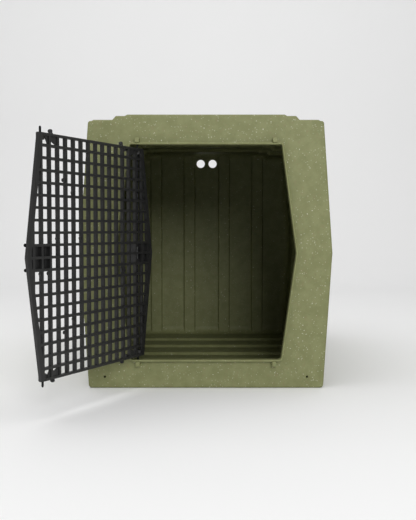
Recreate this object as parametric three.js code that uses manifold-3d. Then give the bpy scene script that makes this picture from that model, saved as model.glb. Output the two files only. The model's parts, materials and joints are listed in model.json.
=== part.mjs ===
// A one-piece moulded kennel with a swinging grid door, in millimetres.
// The front face looks along -Y, +X is to the right, and the kennel stands on Z = 0.
// The origin is on the underside, on the centre line, in the middle of the third flat band from the front.
import * as THREE from "three";
import { mergeVertices } from "three/addons/utils/BufferGeometryUtils.js";
import Module from "manifold-3d";

const wasm = await Module();
wasm.setup();

// Shell
const HEIGHT = 675;
const BASE_HALF = 291.5;
const WAIST_HALF = 312.5;
const SHOULDER_HALF = 289.5;
const WAIST_Z = 336;
const BASE_CHAMFER = 8;
const ROOF_STEP_HALF = 219;
const ROOF_EDGE_DROP = 3;
const ROOF_CROWN = 27;
const STEP_FOOT = 10;
const STEP_DROP = 12.5;
const SHOULDER_DROP = 15;
const SHOULDER_ROUND = 5;
const SHOULDER_LOW = 22;
const WALL = 5;
const FRONT_Y = -385;
const BACK_Y = 515;
const CHANNEL_PITCH = 140;
const CHANNEL_COUNT = 5;
const FIRST_CHANNEL_Y = FRONT_Y + 175;
const CHANNEL_HALF = 22;
const CHANNEL_DEPTH = 8;
const FRONT_EDGE = 4;

// Back wall
const REAR_RIB_X = [-187, -64, 64, 187];
const REAR_RIB_HALF = 18;
const VENT_RADIUS = 15;
const VENT_X = 22;
const VENT_Z = 636;

// Doorway, with its standing lip
const DOORWAY_BOTTOM = 73;
const DOORWAY_TOP = 600;
const DOORWAY_END_HALF = 184.5;
const DOORWAY_WAIST_HALF = 221;
const DOORWAY_CORNER = 8;
const DOORWAY_CORNER_STEPS = 3;
const LIP = 15;
const LUG_SIDE = 12;
const LUG_REACH = 18;
const TIE_HOLE_X = 251;
const TIE_HOLE_Z = 28.5;
const TIE_HOLE_RADIUS = 3;

// Door
const PIN_X = 168;
const PIN_Y = FRONT_Y - 6;
const OPEN_ANGLE = 120;
const DOOR_SIDE_GAP = 4;
const DOOR_FACE = 1.8;
const DOOR_BACK = 9.8;
const COLUMN_PITCH = 24.9;
const HALF_COLUMNS = 8;
const ROW_PITCH = 25.4;
const HALF_ROWS = 10;
const BAR = 5;
const DOOR_RIM = 8;
const KNUCKLE_RADIUS = 8.5;
const KNUCKLE_HEIGHT = 14;
const GUIDE_ROW = 5;
const GUIDE_HALF = 6;
const GUIDE_FRONT = -5.5;
const PIN_HOLE_RADIUS = 3.2;
const DOOR_MID_Z = (DOORWAY_BOTTOM + DOORWAY_TOP) / 2;
const DOOR_HALF_HEIGHT = HALF_ROWS * ROW_PITCH;
const LATCH_COLUMN = 7;

// Lock rods, their slides and the housings over them
const ROD_RADIUS = 2.5;
const ROD_REACH = 14;
const ROD_SLOT_HALF = 3;
const ROD_SLOT_BACK = 3.2;
const ROD_START = 16.5;
const SLIDE_LOW = 15.2;
const SLIDE_HIGH = 22.2;
const SLIDE_HALF = 6.5;
const SLIDE_FRONT = -9.5;
const SLIDE_BACK = 2.6;
const SLIDE_SEAT_RADIUS = 2.85;
const TAB_HALF = 4.5;
const TAB_FRONT = -19;
const TAB_STEP = 1;
const HOUSING_HALF_X = 26.5;
const HOUSING_HALF_Z = 27.5;
const HOUSING_FRONT = -13;
const HOUSING_BACK = 1.5;
const HOUSING_WALL = 2.5;
const HOUSING_ROOM_Z = 22.5;
const HOUSING_ROOM_HALF = 8.5;
const HOUSING_MIDDLE_HALF = 1.5;
const SLIDE_SLOT_HALF = 7.5;
const TAB_SLOT_HALF = 5;
const SPRING_Y = -2.5;
const SPRING_OUTER = 3.6;
const SPRING_INNER = 2.6;
const SPRING_LOW = 1.8;
const SPRING_HIGH = 14.9;

// Screws and bumpers
const SCREW_HEAD_RADIUS = 3.6;
const SCREW_HEAD_HEIGHT = 2.2;
const SCREW_RADIUS = 1.4;
const SCREW_HOLE_RADIUS = 1.8;
const SCREW_DEPTH = 21;
const BUMPER_X = 122;
const BUMPER_OUT = 15;
const BUMPER_PAST_EDGE = 7;
const BUMPER_LEAN = Math.PI / 12;
const ARM_HALF = 5;
const ARM_HEIGHT = 10;
const BUMPER_RADIUS = 4.8;
const BUMPER_STEM_RADIUS = 2.4;
const BUMPER_HEAD = 9;
const BUMPER_STEM = 9;
const BUMPER_TIP = 3;
const BUMPER_TIP_RADIUS = 2.9;
const SOCKET_LENGTH = 16;
const GAP = 0.3;
const MARGIN = 1;
const FINE_SIDES = 20;
const ROUND_SIDES = 16;
const SMALL_SIDES = 12;
const SCREW_SIDES = 8;

const moulded = { color: 0x7d7f55, roughness: 0.55, metalness: 0 };
const doorPlastic = { color: 0x2c2c2e, roughness: 0.5, metalness: 0 };
const blackSteel = { color: 0x1b1b1c, roughness: 0.4, metalness: 0.8 };
const springSteel = { color: 0x8e8f90, roughness: 0.35, metalness: 0.9 };
const blackRubber = { color: 0x161616, roughness: 0.8, metalness: 0 };

function solid(geometry) {
  const bare = geometry.clone();
  bare.deleteAttribute("normal");
  bare.deleteAttribute("uv");
  const merged = mergeVertices(bare, 1e-3);
  const vertProperties = new Float32Array(merged.attributes.position.array);
  const triVerts = new Uint32Array(merged.index.array);
  return new wasm.Manifold(new wasm.Mesh({ numProp: 3, vertProperties, triVerts }));
}

function geometryOf(body) {
  const mesh = body.getMesh();
  const geometry = new THREE.BufferGeometry();
  geometry.setAttribute("position", new THREE.BufferAttribute(new Float32Array(mesh.vertProperties), 3));
  geometry.setIndex(new THREE.BufferAttribute(new Uint32Array(mesh.triVerts), 1));
  geometry.computeVertexNormals();
  return geometry;
}

function joined(bodies) {
  return bodies.reduce((sum, body) => sum.add(body));
}

function block(low, high) {
  const size = high.map((value, axis) => value - low[axis]);
  const box = new THREE.BoxGeometry(...size);
  box.translate(...low.map((value, axis) => value + size[axis] / 2));
  return solid(box);
}

// A round bar standing along Z, from z = low to z = high.
function post(x, y, low, high, radius, sides = ROUND_SIDES) {
  const bar = new THREE.CylinderGeometry(radius, radius, high - low, sides);
  bar.rotateX(Math.PI / 2);
  bar.translate(x, y, (low + high) / 2);
  return solid(bar);
}

// A round bar lying along Y, from y = low to y = high.
function crossPost(x, z, low, high, radius, sides = ROUND_SIDES) {
  const bar = new THREE.CylinderGeometry(radius, radius, high - low, sides);
  bar.translate(x, (low + high) / 2, z);
  return solid(bar);
}

// Moves each side of a closed outline inwards by a distance, and outwards when it is negative.
function insetOutline(points, distance) {
  return points.map((point, index) => {
    const before = points[(index + points.length - 1) % points.length];
    const after = points[(index + 1) % points.length];
    const first = new THREE.Vector2().subVectors(point, before).normalize();
    const second = new THREE.Vector2().subVectors(after, point).normalize();
    const firstNormal = new THREE.Vector2(-first.y, first.x);
    const secondNormal = new THREE.Vector2(-second.y, second.x);
    const along = firstNormal.clone().add(secondNormal).normalize();
    return point.clone().addScaledVector(along, distance / along.dot(firstNormal));
  });
}

// An outline in X and Z drawn out along Y, from y = low to y = high, with its ends drawn in by an edge size.
function prism(points, low, high, edge = 0) {
  const body = new THREE.ExtrudeGeometry(new THREE.Shape(points), {
    depth: high - low - 2 * edge,
    bevelEnabled: edge > 0,
    bevelThickness: edge,
    bevelSize: edge,
    bevelOffset: -edge,
    bevelSegments: 1,
    steps: 1,
  });
  body.rotateX(Math.PI / 2);
  body.translate(0, high - edge, 0);
  return solid(body);
}

// The right half of an outline, from its lowest point to its highest, with its mirror image.
function symmetricOutline(half) {
  const right = half.map(([x, z]) => new THREE.Vector2(x, z));
  const left = half.map(([x, z]) => new THREE.Vector2(-x, z)).reverse();
  return [...right, ...left];
}

// The shell's outline, drawn in by a distance on every side.
function shellOutline(inset) {
  const top = HEIGHT - inset;
  return symmetricOutline([
    [BASE_HALF - inset - BASE_CHAMFER, inset],
    [BASE_HALF - inset, inset + BASE_CHAMFER],
    [WAIST_HALF - inset, WAIST_Z],
    [SHOULDER_HALF - inset, top - SHOULDER_LOW],
    [SHOULDER_HALF - inset - SHOULDER_ROUND, top - SHOULDER_DROP],
    [ROOF_STEP_HALF - inset + STEP_FOOT, top - STEP_DROP],
    [ROOF_STEP_HALF - inset, top - ROOF_EDGE_DROP],
    [ROOF_STEP_HALF - inset - ROOF_CROWN, top],
  ]);
}

// The doorway's outline, with rounded lower corners.
function doorwayOutline() {
  const steps = DOORWAY_CORNER_STEPS;
  const half = [];
  for (let step = 0; step <= steps; step += 1) {
    const angle = (step / steps) * (Math.PI / 2);
    const x = DOORWAY_END_HALF - DOORWAY_CORNER + DOORWAY_CORNER * Math.sin(angle);
    half.push([x, DOORWAY_BOTTOM + DOORWAY_CORNER - DOORWAY_CORNER * Math.cos(angle)]);
  }
  half.push([DOORWAY_WAIST_HALF, WAIST_Z]);
  half.push([DOORWAY_END_HALF, DOORWAY_TOP]);
  return symmetricOutline(half);
}

// The flat bands between the channels that run round the shell, as [start, end] along Y.
function bands() {
  const ends = [FRONT_Y];
  for (let index = 0; index < CHANNEL_COUNT; index += 1) {
    const middle = FIRST_CHANNEL_Y + index * CHANNEL_PITCH;
    ends.push(middle - CHANNEL_HALF, middle + CHANNEL_HALF);
  }
  ends.push(BACK_Y);
  const pairs = [];
  for (let index = 0; index < ends.length; index += 2) {
    pairs.push([ends[index], ends[index + 1]]);
  }
  return pairs;
}

// An upright channel pressed into the back wall, whose inside is a rib.
function rearChannel(x, outside, inside, spread) {
  const outline = [
    new THREE.Vector2(x - REAR_RIB_HALF - spread, outside),
    new THREE.Vector2(x - REAR_RIB_HALF - spread + CHANNEL_DEPTH / 2, inside),
    new THREE.Vector2(x + REAR_RIB_HALF + spread - CHANNEL_DEPTH / 2, inside),
    new THREE.Vector2(x + REAR_RIB_HALF + spread, outside),
  ];
  const bar = new THREE.ExtrudeGeometry(new THREE.Shape(outline), {
    depth: HEIGHT + 2 * MARGIN,
    bevelEnabled: false,
    steps: 1,
  });
  bar.translate(0, 0, -MARGIN);
  return solid(bar);
}

function makeShell() {
  const outline = shellOutline(0);
  const spans = bands();
  const last = spans.length - 1;
  const slope = WALL * (Math.SQRT2 - 1);
  const outerParts = [prism(shellOutline(CHANNEL_DEPTH), FRONT_Y + MARGIN, BACK_Y - MARGIN)];
  const innerParts = [prism(shellOutline(WALL + CHANNEL_DEPTH), FRONT_Y + WALL, BACK_Y - WALL)];
  spans.forEach(([start, end], index) => {
    const edge = index === 0 ? FRONT_EDGE : CHANNEL_DEPTH;
    outerParts.push(prism(outline, start, end, edge));
    const innerStart = index === 0 ? FRONT_Y + WALL : start + slope;
    const innerEnd = index === last ? BACK_Y - WALL : end - slope;
    innerParts.push(prism(shellOutline(WALL), innerStart, innerEnd, edge));
  });
  let outer = joined(outerParts);
  let inner = joined(innerParts);
  REAR_RIB_X.forEach((x) => {
    outer = outer.subtract(rearChannel(x, BACK_Y + MARGIN, BACK_Y - CHANNEL_DEPTH, 0));
    inner = inner.subtract(rearChannel(x, BACK_Y, BACK_Y - WALL - CHANNEL_DEPTH, WALL));
  });
  const doorway = doorwayOutline();
  const lip = prism(insetOutline(doorway, -WALL), FRONT_Y - LIP, FRONT_Y + WALL);
  const lugs = [];
  const holes = [];
  [-1, 1].forEach((side) => {
    [DOORWAY_BOTTOM - WALL - LUG_SIDE, DOORWAY_TOP + WALL - GAP].forEach((low) => {
      const high = low + LUG_SIDE + GAP;
      const x = side * PIN_X;
      const half = LUG_SIDE / 2;
      lugs.push(block([x - half, FRONT_Y - LUG_REACH, low], [x + half, FRONT_Y + MARGIN, high]));
      holes.push(post(x, PIN_Y, low - LUG_SIDE, high + LUG_SIDE, PIN_HOLE_RADIUS));
    });
    holes.push(crossPost(side * TIE_HOLE_X, TIE_HOLE_Z, FRONT_Y - WALL, FRONT_Y + 2 * WALL, TIE_HOLE_RADIUS));
    holes.push(crossPost(side * VENT_X, VENT_Z, BACK_Y - 4 * WALL, BACK_Y + WALL, VENT_RADIUS, FINE_SIDES));
  });
  const cut = prism(doorway, FRONT_Y - LIP - WALL, FRONT_Y + 2 * WALL);
  return joined([outer.subtract(inner), lip, ...lugs]).subtract(cut).subtract(joined(holes));
}

// The door's own frame: its origin is on the hinge axis at mid height, +X runs to the free edge and +Y is the
// side that faces into the cabin when the door is shut.
function doorOutline(inset) {
  const outline = symmetricOutline([
    [DOORWAY_END_HALF - DOOR_SIDE_GAP, -DOOR_HALF_HEIGHT],
    [DOORWAY_WAIST_HALF - DOOR_SIDE_GAP, 0],
    [DOORWAY_END_HALF - DOOR_SIDE_GAP, DOOR_HALF_HEIGHT],
  ]);
  return insetOutline(outline, inset).map((point) => new THREE.Vector2(point.x + PIN_X, point.y));
}

const PIN_LINES = { free: 2 * PIN_X, hinge: 0 };
const ENDS = { upper: 1, lower: -1 };

function makeGrid() {
  const panel = prism(doorOutline(0), DOOR_FACE, DOOR_BACK);
  const window = prism(doorOutline(DOOR_RIM), DOOR_FACE - MARGIN, DOOR_BACK + MARGIN);
  const bars = [];
  const tall = DOOR_HALF_HEIGHT - MARGIN;
  for (let column = -HALF_COLUMNS; column <= HALF_COLUMNS; column += 1) {
    const x = PIN_X + column * COLUMN_PITCH;
    bars.push(block([x - BAR / 2, DOOR_FACE, -tall], [x + BAR / 2, DOOR_BACK, tall]));
  }
  for (let row = 1 - HALF_ROWS; row < HALF_ROWS; row += 1) {
    const z = row * ROW_PITCH;
    const low = [PIN_X - DOORWAY_WAIST_HALF, DOOR_FACE, z - BAR / 2];
    bars.push(block(low, [PIN_X + DOORWAY_WAIST_HALF, DOOR_BACK, z + BAR / 2]));
  }
  return [panel.subtract(window), joined(bars).intersect(panel)];
}

function makeGrille() {
  const additions = makeGrid();
  const cuts = [];
  const slotEnd = DOOR_HALF_HEIGHT - KNUCKLE_HEIGHT;
  const face = DOOR_FACE - MARGIN;
  Object.values(PIN_LINES).forEach((x) => {
    cuts.push(block([x - ROD_SLOT_HALF, face, -slotEnd], [x + ROD_SLOT_HALF, ROD_SLOT_BACK, slotEnd]));
    const room = [SLIDE_SLOT_HALF, HOUSING_ROOM_Z];
    cuts.push(block([x - room[0], face, -room[1]], [x + room[0], ROD_SLOT_BACK, room[1]]));
    cuts.push(post(x, 0, -DOOR_HALF_HEIGHT - MARGIN, DOOR_HALF_HEIGHT + MARGIN, PIN_HOLE_RADIUS));
    Object.values(ENDS).forEach((end) => {
      const ends = [end * slotEnd, end * DOOR_HALF_HEIGHT];
      additions.push(post(x, 0, Math.min(...ends), Math.max(...ends), KNUCKLE_RADIUS, FINE_SIDES));
      additions.push(rodGuide(x, end * GUIDE_ROW * ROW_PITCH));
    });
    screwPlaces(x).forEach(([screwX, z]) => {
      cuts.push(crossPost(screwX, z, face, DOOR_BACK - MARGIN, SCREW_HOLE_RADIUS, SCREW_SIDES));
    });
  });
  bumperPlaces().forEach(({ x, end }) => {
    const arm = [end * DOOR_HALF_HEIGHT, end * (DOOR_HALF_HEIGHT - ARM_HEIGHT)];
    const armLow = [x - ARM_HALF, -BUMPER_OUT + BUMPER_STEM_RADIUS, Math.min(...arm)];
    additions.push(block(armLow, [x + ARM_HALF, DOOR_FACE + MARGIN, Math.max(...arm)]));
    additions.push(solid(tilted(socketGeometry(), x, end)));
    cuts.push(solid(tilted(socketBoreGeometry(), x, end)));
  });
  return joined(additions).subtract(joined(cuts));
}

// The upright bar that a rod lies beside.
function latchBar(x) {
  return PIN_X + Math.sign(x - PIN_X) * LATCH_COLUMN * COLUMN_PITCH;
}

// A block that holds a rod where it crosses a row of the grid.
function rodGuide(x, z) {
  const sides = [x - GUIDE_HALF, x + GUIDE_HALF, latchBar(x)];
  const low = [Math.min(...sides), GUIDE_FRONT, z - BAR / 2];
  return block(low, [Math.max(...sides), DOOR_FACE + MARGIN, z + BAR / 2]);
}

function screwPlaces(x) {
  const places = [];
  [-1, 1].forEach((side) => {
    [-1, 1].forEach((end) => places.push([latchBar(x) + side * COLUMN_PITCH, end * ROW_PITCH]));
  });
  return places;
}

function bumperPlaces() {
  const places = [];
  [["hinge", PIN_X - BUMPER_X], ["free", PIN_X + BUMPER_X]].forEach(([side, x]) => {
    Object.entries(ENDS).forEach(([name, end]) => places.push({ name: `${name}_${side}`, x, end }));
  });
  return places;
}

// Takes a piece that stands along +Z around the middle of a bumper's head to its place on the door, where it
// leans a little outwards and past the door's edge.
function tilted(geometry, x, end) {
  geometry.rotateX(end > 0 ? BUMPER_LEAN : Math.PI - BUMPER_LEAN);
  geometry.translate(x, -BUMPER_OUT, end * (DOOR_HALF_HEIGHT + BUMPER_PAST_EDGE));
  return geometry;
}

function turned(profile, sides) {
  const lathe = new THREE.LatheGeometry(profile.map(([r, z]) => new THREE.Vector2(r, z)), sides);
  lathe.rotateX(Math.PI / 2);
  return lathe;
}

function bumperGeometry() {
  const half = BUMPER_HEAD / 2;
  const base = -half - BUMPER_STEM;
  return turned([
    [0, base],
    [BUMPER_STEM_RADIUS, base],
    [BUMPER_STEM_RADIUS, -half],
    [BUMPER_RADIUS, -half],
    [BUMPER_RADIUS, half - BUMPER_TIP],
    [BUMPER_TIP_RADIUS, half],
    [0, half],
  ], SMALL_SIDES);
}

function socketGeometry() {
  const top = -BUMPER_HEAD / 2 - GAP;
  const base = top - SOCKET_LENGTH;
  return turned([[0, base], [BUMPER_RADIUS, base], [BUMPER_RADIUS, top], [0, top]], SMALL_SIDES);
}

function socketBoreGeometry() {
  const top = -BUMPER_HEAD / 2 + MARGIN;
  const radius = BUMPER_STEM_RADIUS + GAP;
  const base = -BUMPER_HEAD / 2 - BUMPER_STEM - GAP;
  return turned([[0, base], [radius, base], [radius, top], [0, top]], SMALL_SIDES);
}

function makeHousing(x) {
  const hx = HOUSING_HALF_X;
  const hz = HOUSING_HALF_Z;
  const middle = latchBar(x);
  const body = block([middle - hx, HOUSING_FRONT, -hz], [middle + hx, HOUSING_BACK, hz]);
  const cuts = [post(x, 0, -hz - MARGIN, hz + MARGIN, PIN_HOLE_RADIUS)];
  const roomX = HOUSING_ROOM_HALF;
  Object.values(ENDS).forEach((end) => {
    const near = end * HOUSING_MIDDLE_HALF;
    const far = end * HOUSING_ROOM_Z;
    const low = Math.min(near, far);
    const high = Math.max(near, far);
    const face = HOUSING_FRONT - MARGIN;
    const ceiling = HOUSING_FRONT + HOUSING_WALL;
    cuts.push(block([x - roomX, ceiling, low], [x + roomX, HOUSING_BACK + MARGIN, high]));
    cuts.push(block([x - TAB_SLOT_HALF, face, low], [x + TAB_SLOT_HALF, HOUSING_BACK, high]));
  });
  screwPlaces(x).forEach(([screwX, z]) => {
    const depth = HOUSING_BACK + MARGIN;
    cuts.push(crossPost(screwX, z, HOUSING_FRONT - MARGIN, depth, SCREW_HOLE_RADIUS, SCREW_SIDES));
  });
  return body.subtract(joined(cuts));
}

function makeSlide(x, end) {
  const low = Math.min(end * SLIDE_LOW, end * SLIDE_HIGH);
  const high = Math.max(end * SLIDE_LOW, end * SLIDE_HIGH);
  const carriage = block([x - SLIDE_HALF, SLIDE_FRONT, low], [x + SLIDE_HALF, SLIDE_BACK, high]);
  const tabHigh = high - TAB_STEP;
  const tab = block([x - TAB_HALF, TAB_FRONT, low + TAB_STEP], [x + TAB_HALF, SLIDE_FRONT + MARGIN, tabHigh]);
  const ends = [end * (ROD_START - GAP), end * (SLIDE_HIGH + MARGIN)];
  const seatLow = Math.min(...ends);
  const seatHigh = Math.max(...ends);
  const radius = SLIDE_SEAT_RADIUS;
  const seat = post(x, 0, seatLow, seatHigh, radius);
  const mouth = block([x - radius, 0, seatLow], [x + radius, SLIDE_BACK + MARGIN, seatHigh]);
  return carriage.add(tab).subtract(seat.add(mouth));
}

function makeRod(x, end) {
  const ends = [end * ROD_START, end * (DOOR_HALF_HEIGHT + ROD_REACH)];
  return post(x, 0, Math.min(...ends), Math.max(...ends), ROD_RADIUS, SMALL_SIDES);
}

function makeSpring(x, end) {
  const low = Math.min(end * SPRING_LOW, end * SPRING_HIGH);
  const high = Math.max(end * SPRING_LOW, end * SPRING_HIGH);
  const tube = turned([
    [SPRING_INNER, low],
    [SPRING_OUTER, low],
    [SPRING_OUTER, high],
    [SPRING_INNER, high],
    [SPRING_INNER, low],
  ], SMALL_SIDES);
  tube.translate(x, SPRING_Y, 0);
  return solid(tube);
}

function makeScrew(x, z) {
  const face = HOUSING_FRONT - GAP;
  const start = face - MARGIN;
  const head = crossPost(x, z, face - SCREW_HEAD_HEIGHT, face, SCREW_HEAD_RADIUS, SMALL_SIDES);
  return head.add(crossPost(x, z, start, start + SCREW_DEPTH, SCREW_RADIUS, SCREW_SIDES));
}

function place(parent, name, body, finish) {
  const mesh = new THREE.Mesh(geometryOf(body), new THREE.MeshStandardMaterial(finish));
  mesh.name = name;
  parent.add(mesh);
}

const group = new THREE.Group();
place(group, "shell", makeShell(), moulded);

const door = new THREE.Group();
door.position.set(-PIN_X, PIN_Y, DOOR_MID_Z);
door.rotation.z = THREE.MathUtils.degToRad(-OPEN_ANGLE);
group.add(door);

place(door, "door_grille", makeGrille(), doorPlastic);
Object.entries(PIN_LINES).forEach(([side, x]) => {
  place(door, `latch_housing_${side}`, makeHousing(x), doorPlastic);
  screwPlaces(x).forEach(([screwX, z], index) => {
    place(door, `latch_screw_${side}_${index + 1}`, makeScrew(screwX, z), blackSteel);
  });
  Object.entries(ENDS).forEach(([name, end]) => {
    place(door, `finger_slide_${name}_${side}`, makeSlide(x, end), doorPlastic);
    place(door, `lock_rod_${name}_${side}`, makeRod(x, end), blackSteel);
    place(door, `rod_spring_${name}_${side}`, makeSpring(x, end), springSteel);
  });
});
bumperPlaces().forEach(({ name, x, end }) => {
  place(door, `corner_bumper_${name}`, solid(tilted(bumperGeometry(), x, end)), blackRubber);
});

export default group;
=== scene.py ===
# %% [markdown]
# A moulded dog kennel with a swinging grid door. The kennel body is one hollow plastic moulding, and the
# door hangs on four spring-loaded steel rods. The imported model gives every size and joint. This lesson
# rebuilds each piece finely around it.

# %% Load the frame
import json
import math

import bmesh
import bpy
from mathutils import Matrix, Vector
from mathutils.geometry import tessellate_polygon


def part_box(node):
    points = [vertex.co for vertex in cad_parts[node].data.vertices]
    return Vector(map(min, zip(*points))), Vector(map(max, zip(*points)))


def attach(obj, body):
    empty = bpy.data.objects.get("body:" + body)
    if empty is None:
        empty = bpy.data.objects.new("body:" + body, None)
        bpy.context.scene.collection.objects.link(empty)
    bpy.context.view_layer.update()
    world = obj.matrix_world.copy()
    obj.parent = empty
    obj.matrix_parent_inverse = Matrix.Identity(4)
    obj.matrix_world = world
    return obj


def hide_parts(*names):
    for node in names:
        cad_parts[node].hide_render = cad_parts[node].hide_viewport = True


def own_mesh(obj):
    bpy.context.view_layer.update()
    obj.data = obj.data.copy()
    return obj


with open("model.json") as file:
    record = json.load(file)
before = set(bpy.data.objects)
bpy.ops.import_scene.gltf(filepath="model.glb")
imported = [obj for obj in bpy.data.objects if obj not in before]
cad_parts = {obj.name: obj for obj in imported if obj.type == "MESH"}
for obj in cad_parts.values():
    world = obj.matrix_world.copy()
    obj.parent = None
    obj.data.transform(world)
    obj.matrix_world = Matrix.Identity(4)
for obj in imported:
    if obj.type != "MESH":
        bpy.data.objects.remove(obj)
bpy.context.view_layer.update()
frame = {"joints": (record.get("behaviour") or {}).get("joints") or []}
MM = 0.001

# %% [markdown]
# The camera stands about 1.75 m in front of the kennel at a little over half its height, tipped down by
# about two and a half degrees. The floor and the wall behind it are plain studio paper.

# %% Camera
shell_low, shell_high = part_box("shell")
LUG_REACH = 18 * MM
FRONT = shell_low.y + LUG_REACH
BACK = shell_high.y
HEIGHT = shell_high.z

CAMERA_AWAY = 1745 * MM
CAMERA_UP = 395 * MM
CAMERA_ASIDE = 5 * MM
CAMERA_TIP = 2.51

camera_data = bpy.data.cameras.new("studio_camera")
camera_data.sensor_fit = "VERTICAL"
camera_data.sensor_height = 36
camera_data.lens = 49.05
camera = bpy.data.objects.new("studio_camera", camera_data)
camera.location = (CAMERA_ASIDE, FRONT - CAMERA_AWAY, CAMERA_UP)
camera.rotation_euler = (math.radians(90 - CAMERA_TIP), 0, 0)
bpy.context.scene.collection.objects.link(camera)
bpy.context.scene.camera = camera
print("camera at", tuple(round(value, 3) for value in camera.location))

# %% [markdown]
# Each material is a small tree of nodes. One function adds a node, sets it up and links it, and one turns a
# paint-chart hex colour into the linear numbers that the renderer works in.

# %% Material helpers
def linear(hex_colour):
    channels = [int(hex_colour[start:start + 2], 16) / 255 for start in (0, 2, 4)]
    return [c / 12.92 if c <= 0.04045 else ((c + 0.055) / 1.055) ** 2.4 for c in channels] + [1.0]


def add(tree, kind, settings=None, links=None):
    """Adds a node. Settings are values of its inputs or of the node itself, and links feed its inputs."""
    node = tree.nodes.new(kind)
    for name, value in (settings or {}).items():
        if isinstance(name, int) or name in node.inputs:
            node.inputs[name].default_value = value
        else:
            setattr(node, name, value)
    for name, source in (links or {}).items():
        tree.links.new(source, node.inputs[name])
    return node


def new_material(name, roughness, ior=1.5, metallic=0.0, shine=0.5):
    material = bpy.data.materials.new(name)
    material.use_nodes = True
    tree = material.node_tree
    shader = tree.nodes["Principled BSDF"]
    shader.inputs["Roughness"].default_value = roughness
    shader.inputs["IOR"].default_value = ior
    shader.inputs["Metallic"].default_value = metallic
    shader.inputs["Specular IOR Level"].default_value = shine
    where = add(tree, "ShaderNodeTexCoord")
    return material, tree, shader, where.outputs["Object"]


def blended(tree, share, first, second):
    """Mixes two colours, each a hex string or a socket, by a share."""
    links = {0: share}
    settings = {"data_type": "RGBA"}
    for index, colour in ((6, first), (7, second)):
        if isinstance(colour, str):
            settings[index] = linear(colour)
        else:
            links[index] = colour
    return add(tree, "ShaderNodeMix", settings, links).outputs[2]


def ramp(tree, value, low, high, floor=0.0, ceiling=1.0):
    """Eases a value from floor to ceiling as it goes from low to high."""
    ends = {1: low, 2: high, 3: floor, 4: ceiling}
    node = add(tree, "ShaderNodeMapRange", {"interpolation_type": "SMOOTHSTEP", **ends}, {0: value})
    return node.outputs[0]


def noise(tree, where, size, detail=3.0, roughness=0.5):
    """Noise whose lumps are about one size across, in metres."""
    settings = {"Scale": 1 / size, "Detail": detail, "Roughness": roughness}
    return add(tree, "ShaderNodeTexNoise", settings, {"Vector": where}).outputs[0]


def bump(tree, shader, height, depth, strength):
    settings = {"Strength": strength, "Distance": depth}
    made = add(tree, "ShaderNodeBump", settings, {"Height": height})
    tree.links.new(made.outputs[0], shader.inputs["Normal"])

# %% [markdown]
# The body is rotomoulded polyethylene. Powder of two colours is tumbled in a hot mould, so the olive skin
# carries pale flecks of 1.5 to 5 mm and a faint cloudiness, and it comes out satin with a slight
# orange-peel texture. The flecks are cells of a Voronoi pattern: each cell gets a random number, and only a
# share of the cells shows a small spot in the middle. A little noise bends the spots out of round.

# %% Speckled rotomoulded polyethylene
def flecks(tree, where, spacing, share, smallest, largest):
    """A mask of scattered spots: spacing between cells and spot radii are in metres."""
    cells = add(tree, "ShaderNodeTexVoronoi", {"Scale": 1 / spacing}, {"Vector": where})
    chance = add(tree, "ShaderNodeSeparateColor", {}, {"Color": cells.outputs["Color"]})
    present = add(tree, "ShaderNodeMath", {"operation": "LESS_THAN", 1: share}, {0: chance.outputs[0]})
    radius = ramp(tree, chance.outputs[1], 0, 1, smallest / spacing, largest / spacing)
    part = add(tree, "ShaderNodeMath", {"operation": "DIVIDE"}, {0: cells.outputs["Distance"], 1: radius})
    spot = ramp(tree, part.outputs[0], 0.6, 1.1, 1, 0)
    return add(tree, "ShaderNodeMath", {"operation": "MULTIPLY"}, {0: spot, 1: present.outputs[0]}).outputs[0]


def rotomoulded_polyethylene():
    material, tree, shader, where = new_material("olive_granite_polyethylene", 0.55, 1.51, shine=0.25)
    # The wander gives each fleck a ragged edge.
    wander = add(tree, "ShaderNodeTexNoise", {"Scale": 1 / (4 * MM), "Detail": 2.0}, {"Vector": where})
    centred = add(tree, "ShaderNodeVectorMath", {"operation": "SUBTRACT", 1: (0.5, 0.5, 0.5)},
                  {0: wander.outputs["Color"]})
    pull = add(tree, "ShaderNodeVectorMath", {"operation": "SCALE", "Scale": 5 * MM}, {0: centred.outputs[0]})
    bent = add(tree, "ShaderNodeVectorMath", {"operation": "ADD"}, {0: where, 1: pull.outputs[0]}).outputs[0]
    # Two near olives cloud into each other, with faint patches of tan and of green.
    cloud = ramp(tree, noise(tree, where, 26 * MM, 4.0, 0.6), 0.35, 0.65)
    skin = blended(tree, cloud, "74774F", "7C7F57")
    tan = ramp(tree, noise(tree, where, 9 * MM, 2.0), 0.56, 0.75, 0, 0.5)
    skin = blended(tree, tan, skin, "7C7452")
    green = ramp(tree, noise(tree, bent, 7 * MM, 2.0), 0.58, 0.78, 0, 0.5)
    skin = blended(tree, green, skin, "5F6F49")
    # The flecks come in two sizes.
    large = flecks(tree, bent, 13 * MM, 0.75, 1.1 * MM, 2.3 * MM)
    small = flecks(tree, bent, 6.5 * MM, 0.7, 0.8 * MM, 1.5 * MM)
    skin = blended(tree, ramp(tree, small, 0, 1, 0, 0.75), skin, "A3A48A")
    skin = blended(tree, ramp(tree, large, 0, 1, 0, 0.9), skin, "B6B7A0")
    tree.links.new(skin, shader.inputs["Base Color"])
    # Orange peel is about 1.5 mm across and a few hundredths deep, and is drawn at twice that to be seen.
    bump(tree, shader, noise(tree, where, 3 * MM, 3.0), 0.12 * MM, 0.6)
    return material


polyethylene = rotomoulded_polyethylene()
print("made", polyethylene.name)

# %% [markdown]
# The door is injection-moulded glass-filled nylon, charcoal and nearly matt, because the mould was
# spark-eroded to a fine grain. The real grain is finer than the eye finds from here, so it is drawn 1.2 mm
# across. Edges and raised corners pick up a little rub, which the pointiness of the mesh finds.

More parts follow.
